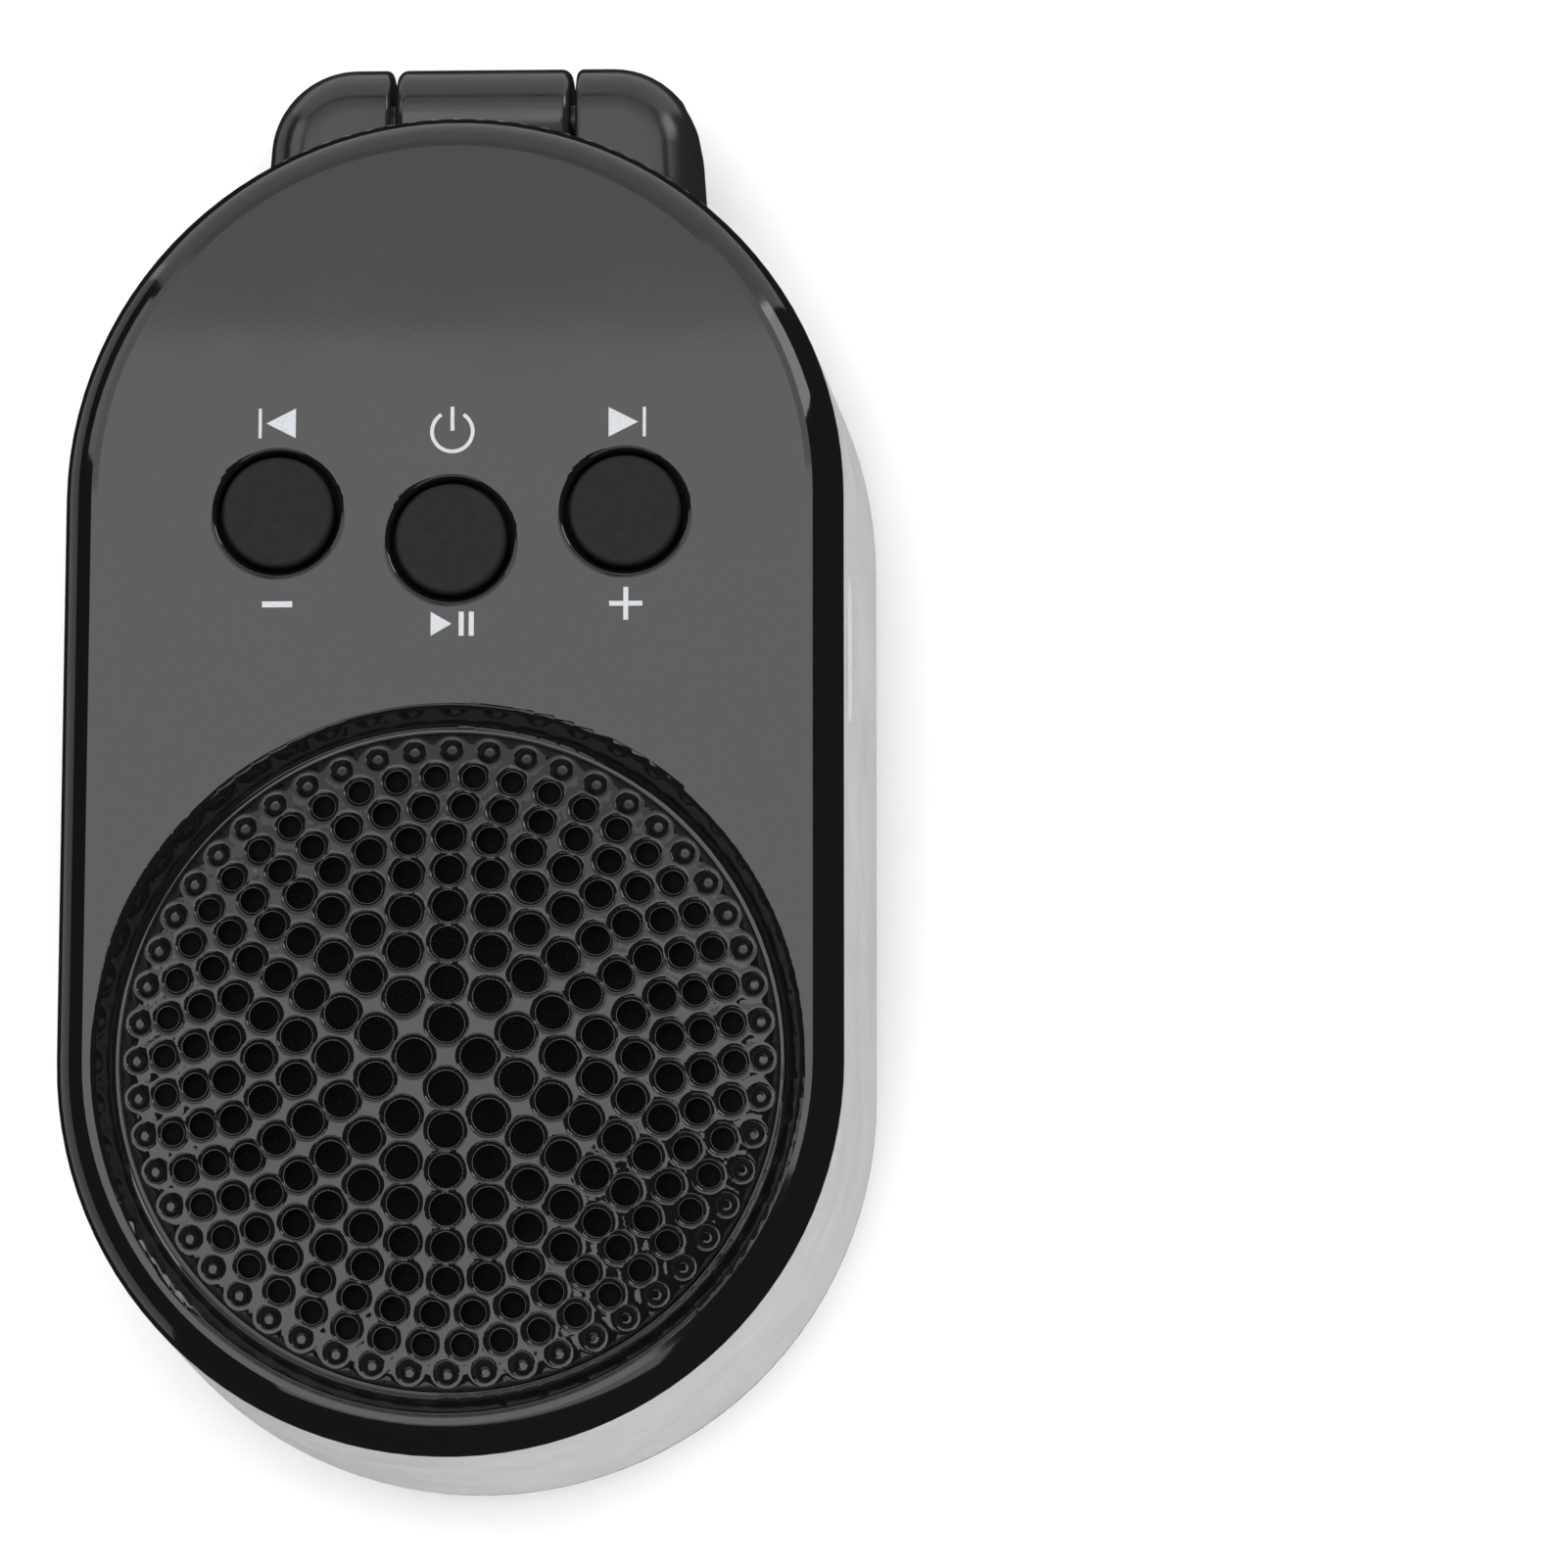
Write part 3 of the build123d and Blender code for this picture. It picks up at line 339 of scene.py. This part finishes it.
def feature_circles():
    """Centres and radii of all holes, then of all dimples."""
    centres = []
    radii = []
    for ring, (radius, diameter, turn) in enumerate(zip(ring_radii, hole_diameters, ring_turns)):
        count = holes_in_first_ring + holes_more_per_ring * ring
        centres.append(circle_points((0, 0), radius, count, turn))
        radii += [diameter / 2] * count
    centres.append(circle_points((0, 0), dimple_ring, dimple_count, 90))
    radii += [dimple_radius] * dimple_count
    return np.vstack(centres), np.array(radii)


centres, radii = feature_circles()
hole_count = len(radii) - dimple_count


def edge_distances(points):
    """Each point's distance from each hole's or dimple's edge, negative inside."""
    offsets = points[:, None, :] - centres[None, :, :]
    return np.hypot(offsets[..., 0], offsets[..., 1]) - radii[None, :]


def border_distance(points):
    """Distance inside the plain round border."""
    return border_radius - np.hypot(points[:, 0], points[:, 1])


def dome_height(points):
    """The dome's surface above the row's origin."""
    reach = np.hypot(points[:, 0], points[:, 1])
    return grille_high.z - dome_radius + np.sqrt(dome_radius**2 - reach**2)


def rounded(distance, width):
    """1 at an edge and 0 from width away, level at its far end."""
    return np.clip((width - distance) / width, 0, 1) ** 2


def grille_height(points):
    """The moulded surface: dome, rounded lips, sunken webs towards the rim, and dimples."""
    edges = edge_distances(points)
    reach = np.hypot(points[:, 0], points[:, 1])
    depth = dip_depth * smooth_step((reach - dip_start) / (dimple_ring - dip_start))
    sink = smooth_step((edges - lip_width) / dip_width)
    nearest = np.sort(sink, axis=1)[:, :2]
    closeness = np.clip(web_blend - (nearest[:, 1] - nearest[:, 0]), 0, None) / web_blend
    web = depth * (nearest[:, 0] - closeness**2 * web_blend / 4)
    lips = lip_drop * rounded(edges[:, :hole_count], lip_width)
    dimple_edges = edges[:, hole_count:]
    collars = dimple_lip * rounded(dimple_edges, dimple_lip)
    bowl = (dimple_depth - dimple_lip) * smooth_step(-dimple_edges / dimple_slope)
    border = border_drop * rounded(border_distance(points), border_width)
    drops = lips.sum(axis=1) + collars.sum(axis=1) + bowl.sum(axis=1)
    return dome_height(points) - web - drops - border


def border_line():
    """The round outline."""
    return circle_points((0, 0), border_radius, border_steps, 90)


def loop_edges(start, count):
    """Index pairs round a closed loop."""
    return [(start + step, start + (step + 1) % count) for step in range(count)]


def triangulate(points, edges):
    """Triangles between the points, with the given edges kept."""
    flat = [Vector(point) for point in points]
    new_points, _, faces, _, _, _ = delaunay_2d_cdt(flat, edges, [], 0, 1e-6)
    return np.array([tuple(point) for point in new_points]), np.array(faces)


def kept_faces(points, faces):
    """Only the triangles on the grille, so none across a hole."""
    middles = points[faces].mean(axis=1)
    edges = edge_distances(middles)
    return faces[(edges[:, :hole_count] > -1e-3).all(axis=1)]


def upward(points, faces):
    """Turns each triangle so that it faces up."""
    a, b, c = (points[faces[:, corner]] for corner in range(3))
    turn = (b[:, 0] - a[:, 0]) * (c[:, 1] - a[:, 1]) - (b[:, 1] - a[:, 1]) * (c[:, 0] - a[:, 0])
    flipped = faces.copy()
    flipped[turn < 0] = flipped[turn < 0][:, ::-1]
    return flipped


def lip_points(index):
    """Points on rings round a hole or in and round a dimple, where no other hole is nearer."""
    is_dimple = index >= hole_count
    sides = dimple_sides if is_dimple else hole_sides
    steps = dimple_steps if is_dimple else lip_steps
    rings = [
        circle_points(centres[index], radii[index] + step, sides, 180 / sides * (order % 2))
        for order, step in enumerate(steps)
    ]
    points = np.vstack(rings)
    own = np.repeat(steps, sides)
    edges = edge_distances(points)
    edges[:, index] = np.inf
    nearest_other = edges.min(axis=1)
    free = (nearest_other > own - share_margin) & (nearest_other > hole_margin)
    return points[free & (border_distance(points) > border_margin)]


def grille_surface():
    """The top of the grille as one triangulated sheet."""
    loops = [circle_points(centres[i], radii[i], hole_sides) for i in range(hole_count)]
    outline = border_line()
    edges = []
    start = 0
    for loop in loops + [outline]:
        edges += loop_edges(start, len(loop))
        start += len(loop)
    shoulders = [outline * (1 - inset / border_radius) for inset in shoulder_insets]
    free = [lip_points(i) for i in range(len(radii))]
    shoulder_points = np.vstack(shoulders)
    clear = edge_distances(shoulder_points).min(axis=1) > shoulder_margin
    middle_point = np.zeros((1, 2))
    points = np.vstack(loops + [outline] + free + [shoulder_points[clear], middle_point])
    points, faces = triangulate(points, edges)
    return points, upward(points, kept_faces(points, faces))


def wall(vertices, faces, upper, lower_z):
    """A vertical wall below a closed loop of points given in order."""
    start = len(vertices)
    count = len(upper)
    vertices += [tuple(point) for point in upper]
    vertices += [(x, y, z) for (x, y, _), z in zip(upper, lower_z)]
    for step in range(count):
        after = (step + 1) % count
        faces.append((start + step, start + count + step, start + count + after, start + after))


def with_height(points, heights):
    """Flat points with their heights as the third column."""
    return np.column_stack([points, heights])


def build_grille(material):
    """The perforated grille's top with its hole walls and border; it has no underside."""
    top, top_faces = grille_surface()
    vertices = [tuple(point) for point in with_height(top, grille_height(top))]
    faces = [tuple(face) for face in top_faces.tolist()]
    for index in range(hole_count):
        loop = circle_points(centres[index], radii[index], hole_sides)
        wall(vertices, faces, with_height(loop, grille_height(loop)), dome_height(loop) - skin)
    outline = border_line()
    foot = np.full(border_steps, grille_low.z)
    wall(vertices, faces, with_height(outline, grille_height(outline)), foot)
    move = np.array([*grille_centre, 0])
    placed = (np.array(vertices) + move) * MM
    grille = new_piece("grille", placed.tolist(), faces, material)
    weld = grille.modifiers.new("weld", "WELD")
    weld.merge_threshold = 0.002 * MM
    return grille


grille = build_grille(finishes["gloss_black_plastic"])
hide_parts("speaker_grille")


# ---------------------------------------------------------------- speaker membranes

sectors = 12
slots = {entry["node"]: entry["material_slot"] for entry in record["subparts"]}


def membrane(node):
    """The ring between cone and basket, cut into sectors."""
    half_turn = math.pi / sectors
    centre = Vector((grille_centre[0] * MM, grille_centre[1] * MM, 0))
    for index in range(sectors):
        turn = half_turn * (2 * index + 1)
        cutting = bmesh.new()
        cutting.from_mesh(nodes[node].data)
        for side in (-1, 1):
            edge_turn = turn + side * half_turn
            normal = Vector((-math.sin(edge_turn), math.cos(edge_turn), 0)) * side
            whole = cutting.verts[:] + cutting.edges[:] + cutting.faces[:]
            cut = bmesh.ops.bisect_plane(
                cutting, geom=whole, plane_co=centre, plane_no=normal, clear_outer=True
            )
            rim = [part for part in cut["geom_cut"] if isinstance(part, bmesh.types.BMEdge)]
            bmesh.ops.edgeloop_fill(cutting, edges=rim)
        name = f"{node}_{index + 1}"
        mesh = bpy.data.meshes.new(name)
        cutting.to_mesh(mesh)
        cutting.free()
        mesh.materials.append(finishes[slots[node]])
        piece = bpy.data.objects.new(name, mesh)
        bpy.context.scene.collection.objects.link(piece)
        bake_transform(piece)
        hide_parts(node)


membrane("driver_surround")
membrane("driver_spider")


# ---------------------------------------------------------------- printed symbols

panel_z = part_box("front_cover")[1].z / MM
ink_height = 0.02


def bar(left, low, right, high):
    """A rectangle's corners, anticlockwise."""
    return [(left, low), (right, low), (right, high), (left, high)]


def arrow(base_x, tip_x, half_height):
    """A triangle that points along X."""
    return [(base_x, -half_height), (tip_x, 0), (base_x, half_height)]


def plus(reach, half_stroke):
    """A cross's twelve corners, anticlockwise."""
    corner = [(reach, -half_stroke), (reach, half_stroke), (half_stroke, half_stroke)]
    outline = []
    for _ in range(4):
        outline += corner
        corner = [(-y, x) for x, y in corner]
    return outline


def ring_part(radius, stroke, gap_degrees, steps=40):
    """A circular stroke, open at the top, as quads."""
    shapes = []
    start = 90 + gap_degrees / 2
    sweep = 360 - gap_degrees
    for step in range(steps):
        a, b = (math.radians(start + sweep * (step + end) / steps) for end in (0, 1))
        inner, outer = radius - stroke / 2, radius + stroke / 2
        shapes.append(
            [
                (inner * math.cos(a), inner * math.sin(a)),
                (outer * math.cos(a), outer * math.sin(a)),
                (outer * math.cos(b), outer * math.sin(b)),
                (inner * math.cos(b), inner * math.sin(b)),
            ]
        )
    return shapes


def symbol(name, x, y, shapes):
    """A printed symbol: flat ink shapes with their thickness, centred at x and y."""
    vertices = []
    faces = []
    for shape in shapes:
        start = len(vertices)
        count = len(shape)
        low = [(x + px, y + py, panel_z - ink_height / 4) for px, py in shape]
        high = [(px, py, panel_z + ink_height) for px, py, _ in low]
        vertices += [tuple(part * MM for part in point) for point in low + high]
        faces.append([start + count + step for step in range(count)])
        faces.append([start + step for step in reversed(range(count))])
        for step in range(count):
            after = (step + 1) % count
            faces.append([start + step, start + after, start + count + after, start + count + step])
    new_piece(name, vertices, faces, ink, smooth=False)


ink = printed_white()
symbols = {
    "symbol_previous": ((-12.2, 24.65), [bar(-1.3, -1.05, -1.08, 1.05), arrow(1.3, -0.75, 1.05)]),
    "symbol_next": ((12.25, 24.6), [bar(1.08, -1.05, 1.3, 1.05), arrow(-1.3, 0.75, 1.05)]),
    "symbol_less": ((-12.05, 11.84), [bar(-1.05, -0.21, 1.05, 0.21)]),
    "symbol_more": ((12.2, 11.77), [plus(1.15, 0.17)]),
    "symbol_power": ((0.05, 24.0), ring_part(1.42, 0.26, 66) + [bar(-0.13, 0.05, 0.13, 1.75)]),
    "symbol_play": (
        (0.15, 10.4),
        [arrow(-1.5, -0.05, 0.85), bar(0.45, -0.85, 0.8, 0.85), bar(1.15, -0.85, 1.5, 0.85)],
    ),
}
for name, (place, shapes) in symbols.items():
    symbol(name, *place, shapes)


# ---------------------------------------------------------------- studio


floor_radius = 1.2  # where the flat part ends
bend_radius = 0.9
bend_steps = 8
wall_top = 2.2
floor_sides = 64


def studio_floor():
    """A pale floor that curves up into a wall far from the object."""
    rings = [(0.0, 0.0), (floor_radius / 3, 0.0), (floor_radius, 0.0)]
    for step in range(1, bend_steps + 1):
        turn = math.radians(90 * step / bend_steps)
        reach = floor_radius + bend_radius * math.sin(turn)
        rings.append((reach, bend_radius * (1 - math.cos(turn))))
    rings.append((floor_radius + bend_radius, wall_top))
    vertices = []
    for reach, height in rings:
        circle = circle_points((0, 0), reach, floor_sides)
        vertices += [(x, y, height) for x, y in circle.tolist()]
    faces = []
    for ring in range(len(rings) - 1):
        for side in range(floor_sides):
            after = (side + 1) % floor_sides
            low, high = ring * floor_sides, (ring + 1) * floor_sides
            faces.append((low + side, low + after, high + after, high + side))
    mesh = bpy.data.meshes.new("floor")
    mesh.from_pydata(vertices, [], faces)
    mesh.polygons.foreach_set("use_smooth", [True] * len(mesh.polygons))
    mesh.materials.append(Finish("floor_white", (0.93, 0.93, 0.93), 0.9, specular=0.0).material)
    floor = bpy.data.objects.new("floor", mesh)
    bpy.context.scene.collection.objects.link(floor)
    floor.visible_glossy = False


def softbox(name, place, size, radiance, aim=None, mirrored=True):
    """A flat lamp of the given brightness, facing down or at a point, and mirrored or not."""
    lamp = bpy.data.lights.new(name, "AREA")
    lamp.shape = "RECTANGLE"
    lamp.size, lamp.size_y = size
    lamp.energy = radiance * math.pi * size[0] * size[1]
    holder = bpy.data.objects.new(name, lamp)
    holder.location = place
    if aim is not None:
        direction = Vector(aim) - Vector(place)
        holder.rotation_euler = direction.to_track_quat("-Z", "Y").to_euler()
    holder.visible_camera = False
    holder.visible_glossy = mirrored
    bpy.context.scene.collection.objects.link(holder)


studio_floor()
middle = (0, 0, 0.02)
softbox("overhead_near", (-0.25, -0.2725, 0.9), (0.8, 0.445), 2.7)
softbox("overhead_middle", (-0.05, 0.0875, 0.9), (1.2, 0.275), 2.7)
softbox("overhead_far", (-0.10, 0.3625, 0.9), (1.3, 0.275), 1.7)
softbox("overhead_dim", (-0.10, 0.7, 0.9), (1.3, 0.4), 1.05)
softbox("back_card", (0, 1.1, 0.15), (2.4, 1.5), 1.1, (0, 0, 0.15))
softbox("left_low_card", (-0.9, 0.1, -0.32), (1.6, 0.6), 0.6, (0, 0.1, -0.32))
softbox("front_card", (0, -0.8, 0.75), (1.2, 0.3), 1.6, middle)
softbox("right_window", (0.75, 0.55, 0.5), (0.3, 0.45), 4.0, middle)
softbox("left_window", (-0.8, 0.45, 0.5), (0.4, 0.45), 1.8, middle)
softbox("right_fill", (0.9, -0.1, 0.5), (0.8, 0.6), 2.8, middle, mirrored=False)
softbox("front_fill", (0, -0.9, 0.5), (0.8, 0.6), 2.8, middle, mirrored=False)

world = bpy.data.worlds.new("studio")
world.use_nodes = True
world.node_tree.nodes["Background"].inputs["Color"].default_value = (0.02, 0.02, 0.02, 1)
bpy.context.scene.world = world
bpy.context.scene.view_settings.view_transform = "Standard"

# The camera looks almost straight down, from beyond the lower right.
camera_place = (0.03871, -0.06462, 0.46545)
camera_turns = (8.46994, 2.07793, 0.02441)  # degrees
camera_data = bpy.data.cameras.new("camera")
camera_data.lens = 143.98
camera_data.sensor_width = 36
camera = bpy.data.objects.new("camera", camera_data)
camera.location = camera_place
camera.rotation_euler = [math.radians(turn) for turn in camera_turns]
bpy.context.scene.collection.objects.link(camera)
bpy.context.scene.camera = camera
